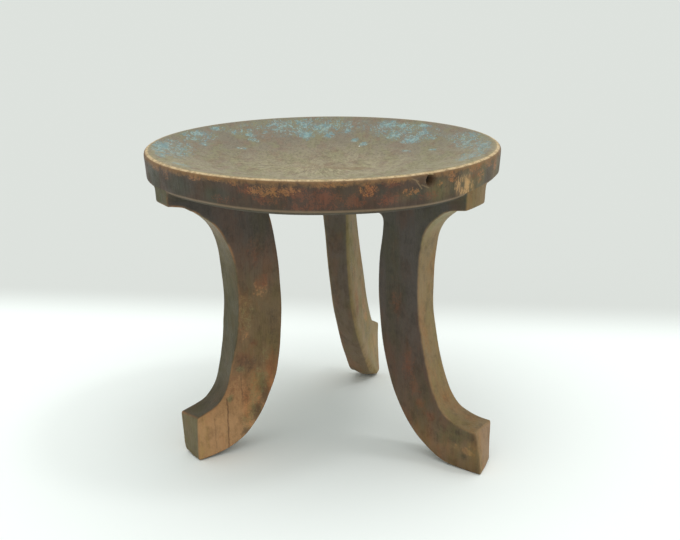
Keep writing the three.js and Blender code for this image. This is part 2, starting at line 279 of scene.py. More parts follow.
def build_seat():
    even = np.linspace(0, 2 * math.pi, SPOKES, endpoint=False)
    knot, spread = math.radians(KNOT_AZIMUTH), math.radians(KNOT_SPREAD)
    close = np.linspace(knot - spread, knot + spread, KNOT_SPOKES)
    azimuth = np.unique(np.concatenate([even, close]))
    radius, height = seat_profile(azimuth)
    for repeat in range(2):
        radius = worn_round(radius)
        height = worn_round(height)
    drop = -height
    on_side = np.zeros_like(radius)
    first = DISH_RINGS + 2
    last = DISH_RINGS + LIP_RINGS + SIDE_RINGS - 2
    on_side[first:last] = 1
    pits = mark_depth(azimuth, drop, *KNOT) + mark_depth(azimuth, drop, *CHIP)
    radius = radius - on_side * pits

    rings, spokes = radius.shape
    points = np.stack([radius * np.cos(azimuth), radius * np.sin(azimuth), height], 2)
    points = points[1:-1].reshape(-1, 3)
    middle_top = [0, 0, height[0].mean()]
    middle_under = [0, 0, height[-1].mean()]
    points = np.vstack([points, middle_top, middle_under])
    faces = []
    for ring in range(rings - 3):
        for spoke in range(spokes):
            a = ring * spokes + spoke
            b = ring * spokes + (spoke + 1) % spokes
            faces.append((a, a + spokes, b + spokes, b))
    start = (rings - 3) * spokes
    for spoke in range(spokes):
        after = (spoke + 1) % spokes
        faces.append((len(points) - 2, spoke, after))
        faces.append((len(points) - 1, start + after, start + spoke))
    piece = new_piece("seat_carved", seat_to_part(points), faces)

    # The dish's marks run on over the first rings of the lip, which is rounded.
    azimuth = np.broadcast_to(azimuth, radius.shape)
    in_dish = (np.arange(rings) < DISH_RINGS + 3)[:, None] * np.ones(spokes)
    outside = 1 - in_dish
    masks = {
        "radius": radius,
        "drop": drop,
        "dish": in_dish,
        "scratch": on_side * seat_lines(azimuth, drop, SCRATCHES),
        "check": on_side * seat_lines(azimuth, drop, [CHECK]),
        "past_edge": drop - side_depth(azimuth),
        "hole": on_side * seat_marks(azimuth, drop, HOLE),
        "cut": np.maximum(swell(radius, LIP_START) * in_dish, (drop > UNDERSIDE_DEPTH + 2) * 0.5),
    }
    for name, marks in DISH_MARKS.items():
        masks[name] = in_dish * seat_marks(azimuth, radius, marks)
    for name, marks in SIDE_MARKS.items():
        masks[name] = outside * seat_marks(azimuth, drop, marks)
    for name, values in masks.items():
        full = values[1:-1].reshape(-1)
        add_mask(piece, name, np.append(full, [values[0].mean(), values[-1].mean()]))
    return piece


def tint(red, green, blue):
    """A shader colour from a screen colour (0 to 255)."""
    return tuple(((v / 255 + 0.055) / 1.055) ** 2.4 for v in (red, green, blue)) + (1.0,)


def add_node(tree, kind, inputs, **settings):
    """The outputs of a new node; each input is a value or another node's output."""
    node = tree.nodes.new(kind)
    for name, value in settings.items():
        setattr(node, name, value)
    for socket, value in inputs.items():
        if isinstance(value, bpy.types.NodeSocket):
            tree.links.new(value, node.inputs[socket])
        else:
            node.inputs[socket].default_value = value
    return node.outputs


def maths(tree, operation, *values, clamp=False):
    inputs = dict(enumerate(values))
    return add_node(tree, "ShaderNodeMath", inputs, operation=operation, use_clamp=clamp)[0]


def vectors(tree, operation, inputs):
    return add_node(tree, "ShaderNodeVectorMath", inputs, operation=operation)[0]


def times(tree, a, b):
    return maths(tree, "MULTIPLY", a, b, clamp=True)


def share(tree, value, low, high):
    """0 where a value is at low and 1 where it is at high, smooth at both ends."""
    inputs = {"Value": value, "From Min": low, "From Max": high}
    return add_node(tree, "ShaderNodeMapRange", inputs, interpolation_type="SMOOTHSTEP")[0]


def lay_over(tree, amount, below, above, way="MIX"):
    """A colour laid over another one, by an amount between 0 and 1."""
    inputs = {0: amount, 6: below, 7: above}
    return add_node(tree, "ShaderNodeMix", inputs, data_type="RGBA", blend_type=way)[2]


def lay_all(tree, colour, layers):
    """A colour with others laid over it in turn, each of them (mask, amount, screen colour)."""
    for mask, amount, tone in layers:
        tone = tint(*tone) if isinstance(tone, tuple) else tone
        colour = lay_over(tree, times(tree, mask, amount), colour, tone)
    return colour


def clouds(tree, place, scale, detail=4.0, rough=0.55):
    inputs = {"Vector": place, "Scale": scale, "Detail": detail, "Roughness": rough}
    return add_node(tree, "ShaderNodeTexNoise", inputs)[0]


def patches(tree, place, pattern, low, high):
    """Soft-edged patches of clouds, pattern being their scale, detail and roughness."""
    return share(tree, clouds(tree, place, *pattern), low, high)


def stretched(tree, place, scale, move=(0, 0, 0)):
    return add_node(tree, "ShaderNodeMapping", {"Vector": place, "Scale": scale, "Location": move})[0]


def mask_of(tree, name):
    return add_node(tree, "ShaderNodeAttribute", {}, attribute_name=name)["Fac"]


def new_group(name, inputs, outputs):
    """A shader group with its sockets (name, kind), and the ends that its nodes join."""
    group = bpy.data.node_groups.new(name, "ShaderNodeTree")
    for way, sockets in (("INPUT", inputs), ("OUTPUT", outputs)):
        for socket, kind in sockets.items():
            group.interface.new_socket(socket, in_out=way, socket_type="NodeSocket" + kind)
    return group, group.nodes.new("NodeGroupInput").outputs, group.nodes.new("NodeGroupOutput").inputs


def add_group(tree, group, inputs):
    return add_node(tree, "ShaderNodeGroup", inputs, node_tree=group)


def aged_wood_group():
    """Old handled wood: streaks along the trunk, olive, red and dark blotches, fine specks."""
    inputs = {"Place": "Vector", "Colour": "Color", "Grain": "Float"}
    inputs.update({"Blotches": "Float", "Specks": "Float"})
    group, given, result = new_group("aged wood", inputs, {"Colour": "Color", "Height": "Float"})
    place = given["Place"]
    colour = given["Colour"]
    broad = stretched(group, place, (1, 1, 0.35))
    moved = stretched(group, broad, (1, 1, 1), (0.7, 0, 0))
    upright = stretched(group, place, (1, 1, 0.7), (0, 0.9, 0))
    fine = patches(group, stretched(group, place, (1, 1, 0.09)), (380, 5, 0.65), 0.42, 0.64)
    olive = patches(group, broad, (30, 5, 0.65), 0.46, 0.66)
    red = patches(group, moved, (44, 5, 0.65), 0.46, 0.66)
    dark = patches(group, upright, (95, 6, 0.75), 0.46, 0.66)
    speck = patches(group, place, (480, 3, 0.6), 0.45, 0.7)
    for mask, amount, strength, tone in (
        (fine, "Grain", 1.0, (0.5, 0.45, 0.4, 1)),
        (olive, "Blotches", 1.0, (0.84, 0.92, 0.66, 1)),
        (red, "Blotches", 1.0, (1.16, 0.88, 0.74, 1)),
        (dark, "Blotches", 0.9, (0.66, 0.64, 0.6, 1)),
        (speck, "Specks", 1.0, (1.35, 1.3, 1.15, 1)),
    ):
        amount = times(group, times(group, mask, given[amount]), strength)
        colour = lay_over(group, amount, colour, tone, "MULTIPLY")
    group.links.new(colour, result["Colour"])
    height = maths(group, "ADD", times(group, fine, 0.5), 0.2, clamp=True)
    group.links.new(height, result["Height"])
    return group


def broken_mark_group():
    """A soft mark broken up coarsely and finely, as paint flakes off or wear bites in."""
    inputs = {"Mark": "Float", "Place": "Vector", "Scale": "Float", "Ragged": "Float"}
    group, given, result = new_group("broken mark", inputs, {"Mask": "Float"})
    coarse = clouds(group, given["Place"], given["Scale"], 4, 0.7)
    fine = clouds(group, given["Place"], maths(group, "MULTIPLY", given["Scale"], 3.1), 3, 0.6)
    rough = maths(group, "SUBTRACT", maths(group, "ADD", coarse, fine), 1.0)
    rough = maths(group, "MULTIPLY_ADD", rough, given["Ragged"], given["Mark"])
    nowhere = share(group, given["Mark"], 0.0, 0.12)
    group.links.new(times(group, share(group, rough, 0.25, 0.6), nowhere), result["Mask"])
    return group


def end_grain_group():
    """End grain of a whole trunk: rings round its heart, or rays out from it."""
    inputs = {"Place": "Vector", "Round": "Float", "Outwards": "Float"}
    group, given, result = new_group("end grain", inputs, {"Value": "Float", "Reach": "Float"})
    flat = stretched(group, given["Place"], (1, 1, 0), (0.004, -0.04, 0))
    length = add_node(group, "ShaderNodeVectorMath", {0: flat}, operation="LENGTH")["Value"]
    way = vectors(group, "NORMALIZE", {0: flat})
    way = vectors(group, "SCALE", {0: way, "Scale": given["Round"]})
    out = maths(group, "MULTIPLY", length, given["Outwards"])
    lift = add_node(group, "ShaderNodeCombineXYZ", {"Z": out})
    spot = vectors(group, "ADD", {0: way, 1: lift[0]})
    group.links.new(clouds(group, spot, 1.0, 4, 0.6), result["Value"])
    group.links.new(length, result["Reach"])
    return group


aged_wood = aged_wood_group()
broken_mark = broken_mark_group()
end_grain = end_grain_group()


def new_material(name):
    """A material with its node tree, its shader and places on the object."""
    material = bpy.data.materials.new(name)
    material.use_nodes = True
    tree = material.node_tree
    place = add_node(tree, "ShaderNodeTexCoord", {})["Object"]
    return material, tree, tree.nodes["Principled BSDF"], place


def join_shader(tree, shader, colour, rough, height, strength, distance):
    """Joins a colour, a roughness and the height of a bump to a material's shader."""
    bump = add_node(tree, "ShaderNodeBump", {"Strength": strength, "Distance": distance, "Height": height})
    for socket, value in (("Base Color", colour), ("Roughness", rough), ("Normal", bump[0])):
        tree.links.new(value, shader.inputs[socket])


def seat_wood():
    """Worn grey-tan dish with scraps of blue and a painted sheen, a pale lip with a painted highlight, and
    a nearly black handled side with painted shade and a painted highlight along its lower edge.
    """
    material, tree, shader, place = new_material("seat wood")
    long = stretched(tree, place, (1, 0.45, 1))
    upright = stretched(tree, place, (1, 1, 0.3))

    def mask(name):
        return mask_of(tree, name)

    def broken(name, scale, amount, along=place):
        inputs = {"Mark": mask(name), "Place": along, "Scale": scale, "Ragged": amount}
        return add_group(tree, broken_mark, inputs)[0]

    def figure(around, outwards):
        return add_group(tree, end_grain, {"Place": place, "Round": around, "Outwards": outwards})

    def wood(colour, grain, blotches, specks):
        inputs = {"Place": place, "Colour": colour, "Grain": grain, "Blotches": blotches, "Specks": specks}
        return add_group(tree, aged_wood, inputs)

    # The dish, with its end grain, what is left of its paint, and a painted sheen that lightens it towards
    # the front and the middle
    radius = mask("radius")
    forward = share(tree, add_node(tree, "ShaderNodeSeparateXYZ", {0: place})["Y"], 0.09, -0.12)
    fine = figure(60.0, 84.0)
    fine_rays = share(tree, fine["Value"], 0.46, 0.62)
    near_heart = times(tree, share(tree, fine["Reach"], 0.115, 0.05), share(tree, forward, 0.05, 0.5))
    rays = times(tree, share(tree, figure(30.0, 56.0)["Value"], 0.47, 0.62), near_heart)
    dark_rays = times(tree, fine_rays, maths(tree, "ADD", near_heart, 0.25, clamp=True))
    olive = patches(tree, long, (46, 6, 0.75), 0.44, 0.58)
    scraps = broken("paint", 210.0, 4.2, long)
    hue = patches(tree, long, (330, 4, 0.6), 0.42, 0.6)
    # Painted sheen: the dish is painted lighter towards the front, where it is seen at a grazing angle.
    dish = lay_over(tree, forward, tint(122, 113, 95), tint(160, 149, 117))
    dish = lay_all(tree, dish, (
        # Painted sheen: the middle of the dish is painted lighter too.
        (share(tree, radius, 115, 25), 0.6, (178, 164, 130)),
        (share(tree, figure(1.6, 260.0)["Value"], 0.38, 0.62), 0.3, (110, 99, 78)),
        (olive, 0.5, (136, 134, 98)),
        (patches(tree, long, (80, 6, 0.75), 0.47, 0.62), 0.6, (126, 102, 82)),
        (patches(tree, long, (420, 3, 0.6), 0.46, 0.62), 0.4, (94, 82, 68)),
        (rays, 0.5, (194, 184, 146)),
        (dark_rays, 0.5, (96, 84, 62)),
        (times(tree, mask("paint"), patches(tree, long, (110, 6, 0.75), 0.3, 0.7)), 1.0, (114, 136, 136)),
        (scraps, 0.58, lay_over(tree, hue, tint(96, 140, 150), tint(150, 182, 180))),
        (share(tree, mask("speck"), 0.3, 0.7), 1.0, (236, 232, 218)),
    ))

    # The upright side, worn to red and orange where hands and knees rub it
    side = lay_over(tree, share(tree, mask("olive"), 0.0, 0.7), tint(72, 55, 42), tint(62, 60, 48))
    side = wood(lay_all(tree, side, (
        (share(tree, mask("khaki"), 0.0, 1.0), 1.0, (104, 92, 62)),
        (mask("red"), 0.4, (104, 60, 42)),
        (broken("red", 260.0, 3.6), 0.5, (120, 70, 46)),
        (mask("orange"), 0.3, (122, 82, 50)),
        (broken("orange", 300.0, 4.4), 0.65, (164, 112, 66)),
        (broken("gap", 120.0, 2.0), 0.6, (58, 52, 42)),
    )), grain=0.35, blotches=0.7, specks=0.25)
    scrape = times(tree, broken("scrape", 330.0, 3.4, upright), 0.45)
    scrape = maths(tree, "ADD", scrape, times(tree, mask("scrape"), 0.4), clamp=True)
    ragged_lip = clouds(tree, place, 190, 5, 0.75)
    ragged_drop = maths(tree, "MULTIPLY_ADD", ragged_lip, -16.0, mask("drop"))
    outward = lay_all(tree, side["Colour"], (
        (scrape, 1.0, (200, 156, 102)),
        (share(tree, ragged_drop, -1.5, -6.5), 0.75, (132, 98, 60)),
        (share(tree, mask("hole"), 0.1, 0.75), 0.85, (86, 64, 44)),
        (mask("scratch"), 1.0, (160, 134, 98)),
        # Painted shade: the inside of the knot hole is painted nearly black.
        (share(tree, mask("hole"), 0.75, 0.95), 1.0, (44, 40, 34)),
        (mask("check"), 1.0, (46, 38, 30)),
    ))

    # The lip, rubbed to bare wood and given a painted highlight, and the underside, with painted shade and
    # a painted highlight along the side's lower edge
    outside = share(tree, radius, 160.4, 161.3)
    outside = maths(tree, "MAXIMUM", outside, share(tree, mask("dish"), 0.6, 0.2), clamp=True)
    worn = share(tree, ragged_lip, 0.38, 0.6)
    inward = times(tree, share(tree, radius, 155.5, 158.0), worn)
    inward = lay_over(tree, inward, dish, tint(150, 134, 100))
    # The pale line along the lip's inner corner is partly worn bare wood and partly a painted highlight.
    lip_wear_and_highlight = times(tree, share(tree, radius, 158.0, 159.3), share(tree, radius, 161.5, 160.6))
    lip_wear_and_highlight = times(tree, lip_wear_and_highlight, share(tree, mask("drop"), 3.2, 2.0))
    lip_wear_and_highlight = times(tree, lip_wear_and_highlight, share(tree, ragged_lip, 0.2, 0.48))
    past_edge = mask("past_edge")
    below = wood(tint(76, 69, 56), grain=0.3, blotches=0.5, specks=0.1)["Colour"]
    under = share(tree, past_edge, 0.2, 1.6)
    # Painted highlight: a thin light line along the chamfer at the side's lower edge, where light from the
    # floor catches it.
    edge_highlight = times(tree, share(tree, past_edge, -1.6, -0.4), share(tree, past_edge, 1.6, 0.4))
    colour = lay_all(tree, lay_over(tree, outside, inward, outward), (
        (lip_wear_and_highlight, 0.9, lay_over(tree, worn, tint(168, 140, 100), tint(216, 190, 146))),
        # Painted shade on the chamfer and underside just below the side's edge.
        (under, 1.0, lay_over(tree, mask("shaded_under_edge"), below, tint(54, 49, 40))),
        (edge_highlight, 0.6, (132, 110, 82)),
    ))
    inputs = {"Value": olive, "To Min": 0.5, "To Max": 0.64}
    rough = add_node(tree, "ShaderNodeMapRange", inputs)[0]
    rough = add_node(tree, "ShaderNodeMix", {0: under, 2: rough, 3: 0.9})[0]
    shader.inputs["Specular IOR Level"].default_value = 0.4
    height = lay_over(tree, outside, fine_rays, side["Height"])
    height = lay_over(tree, times(tree, scraps, 0.4), height, (1, 1, 1, 1))
    join_shader(tree, shader, colour, rough, height, strength=0.5, distance=0.0004)
    return material


def tool_marks_tree():
    """Geometry nodes that press the shallow dents of an adze into a carved piece."""
    tree = bpy.data.node_groups.new("tool marks", "GeometryNodeTree")
    sockets = ("Carved", "Geometry"), ("Spacing", "Float"), ("Depth", "Float"), ("Seed", "Int")
    for name, kind in (*sockets, ("Wood", "Material")):
        tree.interface.new_socket(name, in_out="INPUT", socket_type="NodeSocket" + kind)
    tree.interface.new_socket("Carved", in_out="OUTPUT", socket_type="NodeSocketGeometry")
    given = tree.nodes.new("NodeGroupInput").outputs
    place = tree.nodes.new("GeometryNodeInputPosition").outputs[0]
    scale = maths(tree, "DIVIDE", 1.0, given["Spacing"])
    moved = add_node(tree, "ShaderNodeCombineXYZ", {"Y": given["Seed"]})[0]
    long = vectors(tree, "MULTIPLY", {0: place, 1: (1, 1, 0.5)})
    spot = vectors(tree, "ADD", {0: long, 1: moved})
    inputs = {"Vector": spot, "Scale": scale, "Smoothness": 0.35}
    dents = add_node(tree, "ShaderNodeTexVoronoi", inputs, feature="SMOOTH_F1")["Distance"]
    cut = add_node(tree, "GeometryNodeInputNamedAttribute", {"Name": "cut"}, data_type="FLOAT")[0]
    depth = maths(tree, "MULTIPLY", maths(tree, "SUBTRACT", dents, 0.75), given["Depth"])
    depth = maths(tree, "MULTIPLY", depth, cut)
    normal = tree.nodes.new("GeometryNodeInputNormal").outputs[0]
    push = vectors(tree, "SCALE", {0: normal, "Scale": depth})
    inputs = {"Geometry": given["Carved"], "Offset": push}
    dented = add_node(tree, "GeometryNodeSetPosition", inputs)[0]
    solid = add_node(tree, "GeometryNodeRealizeInstances", {"Geometry": dented})[0]
    inputs = {"Geometry": solid, "Material": given["Wood"]}
    finished = add_node(tree, "GeometryNodeSetMaterial", inputs)[0]
    tree.links.new(finished, tree.nodes.new("NodeGroupOutput").inputs["Carved"])
    return tree


tool_marks = tool_marks_tree()


def finish_piece(piece, node, spacing, depth, seed, wood):
    """Dents the piece, gives it its wood and puts it in place of its node."""
    piece.data.shade_smooth()
    modifier = piece.modifiers.new("tool marks", "NODES")
    modifier.node_group = tool_marks
    values = {"Spacing": spacing, "Depth": depth, "Seed": seed, "Wood": wood}
    for socket in tool_marks.interface.items_tree:
        if socket.in_out == "INPUT" and socket.name in values:
            modifier[socket.identifier] = values[socket.name]
    graph = bpy.context.evaluated_depsgraph_get()
    whole = dict(preserve_all_data_layers=True, depsgraph=graph)
    dented = bpy.data.meshes.new_from_object(piece.evaluated_get(graph), **whole)
    piece.modifiers.clear()
    piece.data = dented
    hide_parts(node)
    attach(piece, "root")


seat = build_seat()
finish_piece(seat, "seat", spacing=0.019, depth=0.0004, seed=3, wood=seat_wood())

# Legs
# Three C-shaped slabs carved from the same block as the seat, so they flow into its
# underside through a small hollow. Each has a tab at the top, trimmed flush with the rim,
# and a toe that turns out. No two are alike, and their corners are worn round.
LEG_STEP = 0.9  # fineness of the legs' skin
LEAN_HEIGHT = 130.0
TAPER_START = 105.0
TAB_START = 125.0  # the tabs swing aside from here outwards
TOE_START = 125.0  # and the toes widen from here outwards
TOE_TOP = 80.0
UNDER_FLOOR, OVER_SEAT = -9, 290  # ends of the outlines, beyond what is kept
TAB_REACH = 80.0  # the seat's side shapes the tabs down to this drop
HOLLOW = 4.0  # reach of the rounded hollow between a leg and the underside
FAR_INSIDE = -99.0  # stands for a face that isn't there
LET_IN = 2.0  # how far a leg's skin runs on inside the seat
FLUSH = 0.02  # how far a tab's face lies under the seat's side where both run
ARRIS = 1.8  # reach of a worn corner
TAB_ARRIS = 1.4
FOOT_ARRIS = 2.5
UNEVEN = 0.25  # height of the slow unevenness of the cut faces
WEAR_REACH = 4.0  # how far the pale wear spreads from a corner
JOINT_REACH = 9.0  # how far the underside's colour runs down a leg
LEG_BOX = [(44.0, 180.0), (-34.0, 36.0), (-2.0, 276.0)]  # the grid's reach out, aside and up
MIDDLE_LINE = [(0, 133), (42, 115), (75, 97), (150, 86), (240, 100)]  # (height, distance out)

# Each edge runs from the seat down through points (distance from the seat's axis, height).
# The twists are (height, how far the edge moves out on one flat side and in on the other).
# The toe's end is (height, distance, how far it is turned), and the rest are millimetres.
LEFT_LEG = dict(
    azimuth=math.radians(207.7),
    shift=-8.9,
    thickness=29.0,
    taper=-0.034,
    lean=math.radians(3.5),
    tab_swing=7.0,
    tab_widen=-0.5,
    outer=[
        (190, 253), (172, 252.8), (160, 252.2), (152, 250.6), (144.3, 248.2), (138.5, 244.5),
        (132.5, 241), (126, 236), (119.5, 230.5), (113, 223), (108, 214), (103.5, 202), (100.6, 187),
        (99, 168), (98.7, 150), (99.8, 133), (102.3, 113), (106, 94), (109.4, 80), (113.4, 66.8),
        (118.7, 58.2), (125.5, 51.8), (133.5, 48), (142, 45), (152, 41.8), (164, 38),
    ],
    outer_twist=[(90, 0), (125, -2), (185, -2), (215, 0)],
    inner=[
        (76, 264), (70, 250), (66.5, 238), (64.5, 229), (62.6, 221), (60, 207), (57.6, 188), (56, 170),
        (55.3, 152), (55.3, 136), (56, 122), (57.5, 108), (59.2, 92), (62.2, 76), (66.3, 63.5),
        (71.3, 52), (76.8, 41), (82.3, 32), (88.5, 23.5), (96.5, 15.5), (105.5, 10), (115, 5.8),
        (125, 2.9), (136, 1), (148, -1),
    ],
    inner_twist=[(0, -1)],
    toe=[(2, 145.6, 0.1), (11, 146.4, 0.15), (25, 146.5, 0.18), (42, 146.3, 0.22)],
    toe_flare=1.2,
    round_side=-1,
    foot_round=5.0,
    foot_inside=0.0,
    soft_arris=[(0, ARRIS)],
    seed=4,
    # The left leg's flat side faces the key light and is painted lighter: partly its own colour, partly
    # painted light.
    flat=[
        (0, 186, 144, 102), (30, 184, 141, 98), (62, 158, 118, 77), (84, 128, 97, 65),
        (110, 116, 93, 63), (150, 112, 92, 64), (190, 93, 77, 62), (215, 80, 69, 60), (250, 72, 65, 59),
    ],
    outer_face=[
        (0, 92, 80, 56), (55, 76, 66, 46), (85, 80, 70, 44), (150, 80, 73, 45), (200, 94, 81, 50),
        (235, 118, 101, 64),
    ],
    end_face=(108, 95, 63),
    tab_face=(76, 73, 46),
    wear=(150, 106, 66),
    moss=(134, 124, 82),
    inner_face=[(0, 120, 94, 64), (60, 96, 78, 54), (150, 88, 76, 54), (250, 74, 66, 52)],
    joint_tone=(70, 64, 52),
    marks={
        "green": [
            (81, 68, 26, 38, 0.9), (86, 54, 16, 20, 0.8), (90, 42, 16, 22, 0.8), (110, 57, 10, 11, 0.9),
            (98, 84, 14, 10, 0.5), (94, 30, 18, 24, 0.7), (92, 140, 24, 50, 0.45), (72, 92, 16, 28, 0.4),
        ],
        "dark": [
            (75, 54, 16, 44, 1.0), (83, 38, 18, 28, 1.0), (99, 85, 9, 9, 0.7), (110, 56, 9, 10, 0.8),
            (86, 36, 14, 30, 0.7), (96, 19, 16, 14, 0.8), (90, 88, 40, 22, 0.5), (104, 10, 16, 9, 0.6),
            (93, 60, 16, 30, 0.4), (70, 215, 60, 50, 0.35), (64, 120, 14, 90, 0.3),
        ],
        "tan": [
            (105, 60, 28, 44, 1.0), (98, 44, 22, 36, 0.5), (76, 160, 20, 24, 0.4),
            (92, 118, 18, 26, 0.35),
        ],
        "red": [
            (84, 108, 12, 12, 0.9), (96, 94, 30, 26, 0.6), (104, 66, 26, 44, 0.5),
            (98, 122, 18, 44, 0.4), (72, 166, 24, 22, 0.6), (80, 196, 20, 40, 0.4),
        ],
    },
    cracks=[
        (113.8, 57, 113, 50, 1.7, 0.9), (113, 50, 114.2, 7, 1.7, 1.0), (126.7, 40, 126.6, 8, 1.5, 0.35),
        (98.5, 78, 97.9, 48, 1.6, 0.4),
    ],
)
RIGHT_LEG = dict(
    azimuth=math.radians(321.4),
    shift=1.8,
    thickness=24.5,
    taper=0.078,
    lean=math.radians(-0.1),
    tab_swing=8.2,
    tab_widen=7.0,
    outer=[
        (190, 241.3), (172, 240.8), (160, 240.2), (151, 239.4), (144, 238.2), (138, 235.6), (133, 232),
        (127.3, 227.6), (121, 220.3), (115.7, 209), (112.6, 193), (110.9, 177), (109.5, 156),
        (109.7, 135), (112.8, 112), (116.8, 92), (121.8, 73), (127.5, 59), (134.5, 49.5), (143, 44.3),
        (151, 41.7), (160, 40.3), (170, 39.6), (182, 39.4),
    ],
    outer_twist=[(150, 0), (190, 0.8)],
    inner=[
        (52, 262), (54, 244), (60, 234), (66, 229), (71, 226.3), (72.9, 222), (72, 214), (69.8, 202),
        (67.4, 188), (65.6, 172), (64.8, 156), (64.6, 140), (65, 125), (66.4, 110), (68.8, 93.5),
        (72.4, 77), (77.8, 60), (85.2, 44), (93, 31.5), (101.3, 21.5), (108, 15.7), (116, 10),
        (125, 5.3), (135, 2), (146, 0.2), (158, -1),
    ],
    inner_twist=[(0, -0.6), (200, 0.9)],
    toe=[(5, 169.2, 0.27), (16, 168.8, 0.22), (27, 167.6, 0.15), (39, 166.6, 0.08)],
    toe_flare=2.5,
    round_side=1,
    foot_round=4.5,
    foot_inside=0.0,
    soft_arris=[(0, ARRIS)],
    seed=9,
    # The right leg's flat side faces away from the key light and is painted darker: partly its own colour,
    # partly painted shade.
    flat=[
        (0, 118, 92, 66), (20, 122, 98, 70), (45, 98, 79, 61), (80, 86, 69, 56), (150, 78, 69, 62),
        (250, 78, 72, 66),
    ],
    # Its outer face faces the key light and is painted lighter: partly its own colour, partly painted
    # light.
    outer_face=[
        (0, 122, 104, 74), (42, 124, 103, 70), (60, 132, 108, 70), (110, 132, 111, 76),
        (160, 138, 114, 76), (200, 136, 114, 80), (240, 140, 124, 92),
    ],
    end_face=(148, 116, 82),
    tab_face=(126, 102, 68),
    wear=(146, 116, 80),
    moss=(98, 90, 60),
    inner_face=[(0, 100, 80, 56), (60, 84, 70, 52), (250, 74, 66, 52)],
    joint_tone=(74, 70, 60),
    marks={
        "green": [
            (144, 31, 36, 24, 0.7), (133, 25, 20, 18, 0.6), (160, 38, 20, 18, 0.6),
            (152, 13, 20, 14, 0.5),
        ],
        "dark": [
            (155, 14, 9, 9, 0.8), (143, 27, 18, 11, 0.7), (148, 36, 20, 9, 0.6), (163, 33, 12, 9, 0.5),
            (135, 35, 18, 12, 0.5), (90, 150, 40, 120, 0.3), (125, 25, 20, 20, 0.3),
        ],
        "tan": [(160, 19, 18, 12, 0.5), (164, 27, 14, 14, 0.5), (150, 21, 18, 10, 0.5)],
        "red": [
            (108, 54, 18, 16, 0.8), (118, 44, 22, 16, 0.7), (103, 68, 20, 26, 0.5),
            (96, 92, 24, 46, 0.4), (84, 150, 20, 60, 0.3),
        ],
    },
    cracks=[],
)
BACK_LEG = dict(
    azimuth=math.radians(75.4),
    shift=6.5,
    thickness=26.6,
    taper=0.114,
    lean=math.radians(3),
    tab_swing=0.0,
    tab_widen=0.0,
    outer=[
        (190, 245), (172, 244.8), (160, 244.3), (152, 243.3), (144.4, 241), (136.6, 237), (128, 231),
        (118.5, 224), (112, 214), (109, 203), (107, 189), (106.6, 172), (108.5, 155), (110.8, 138),
        (113, 120), (115.3, 102), (118.8, 85), (122.8, 73.5), (127.5, 66.3), (136, 62), (146.5, 56.4),
        (158, 50), (170, 43),
    ],
    outer_twist=[(0, 0)],
    inner=[
        (82, 262), (76.5, 240), (73, 218), (70.6, 198), (66.8, 172), (64, 149), (63.2, 123), (66.2, 98),
        (73.4, 75), (82, 58), (91.5, 42), (102.5, 26), (109.5, 16), (117, 7), (126, 1), (138, -2),
    ],
    inner_twist=[(0, 7.5), (45, 4.7), (120, 3), (172, -1), (200, -5)],
    toe=[(0, 138.4, 0), (12, 138.9, 0), (34, 141.6, 0), (45, 144.5, 0), (54, 148.3, 0)],
    toe_flare=0.0,
    round_side=1,
    foot_round=15.0,
    foot_inside=0.35,
    soft_arris=[(0, 18), (40, 14), (110, 9), (240, 6)],
    seed=2,
    flat=[
        (0, 154, 126, 90), (40, 154, 128, 90), (90, 138, 116, 76), (150, 136, 116, 74),
        (250, 130, 112, 74),
    ],
    outer_face=[(0, 122, 100, 70), (60, 112, 93, 64), (150, 92, 78, 54), (250, 84, 72, 52)],
    end_face=(116, 96, 70),
    tab_face=(72, 60, 45),
    wear=(142, 116, 76),
    moss=(122, 112, 78),
    inner_face=[(0, 124, 104, 78), (60, 112, 93, 72), (130, 106, 92, 78), (250, 106, 98, 88)],
    joint_tone=(84, 76, 60),
    marks={
        "green": [(90, 170, 20, 90, 0.5), (100, 62, 20, 34, 0.4)],
        "dark": [(96, 34, 14, 26, 0.3)],
        "tan": [(124, 40, 30, 40, 0.6), (104, 84, 18, 34, 0.5), (86, 120, 14, 60, 0.3)],
        "red": [(80, 100, 16, 46, 0.4)],
    },
    cracks=[],
)
LEGS = {"left": LEFT_LEG, "right": RIGHT_LEG, "back": BACK_LEG}


def smooth_line(points, steps=6):
    """A smooth line through a few points."""
    points = np.array(points, float)
    ends = [2 * points[0] - points[1]], [2 * points[-1] - points[-2]]
    points = np.vstack([ends[0], points, ends[1]])
    line = []
    for a, b, c, d in zip(points, points[1:], points[2:], points[3:]):
        for t in np.linspace(0, 1, steps, endpoint=False):
            bend = (2 * a - 5 * b + 4 * c - d) * t**2 + (3 * b - a - 3 * c + d) * t**3
            line.append(b + 0.5 * (c - a) * t + 0.5 * bend)
    return np.array(line + [points[-2]])


def leg_outline(leg, side):
    """The C-shaped outline on one flat side (1 or -1), open below the floor and past the toe."""
    outer = smooth_line(leg["outer"])
    inner = smooth_line(leg["inner"])
    outer[:, 0] += side * np.interp(outer[:, 1], *zip(*leg["outer_twist"]))
    inner[:, 0] += side * np.interp(inner[:, 1], *zip(*leg["inner_twist"]))
    beyond = [(outer[-1, 0], UNDER_FLOOR), (inner[-1, 0], UNDER_FLOOR)]
    above = [(inner[0, 0], OVER_SEAT), (outer[0, 0], OVER_SEAT)]
    return np.vstack([outer, beyond, inner[::-1], above])


def outline_depth(outline, x, z):
    """Distance to the outline on a grid of x by z, negative inside it."""
    px, pz = np.meshgrid(x, z, indexing="ij")
    nearest = np.full(px.shape, np.inf)
    inside = np.zeros(px.shape, bool)
    for (ax, az), (bx, bz) in zip(outline, np.roll(outline, -1, 0)):
        nearest = np.minimum(nearest, from_line(px, pz, ax, az, bx, bz))
        if az != bz:
            crossing = ax + (pz - az) * (bx - ax) / (bz - az)
            inside ^= ((az > pz) != (bz > pz)) & (px < crossing)
    return np.where(inside, -nearest, nearest)


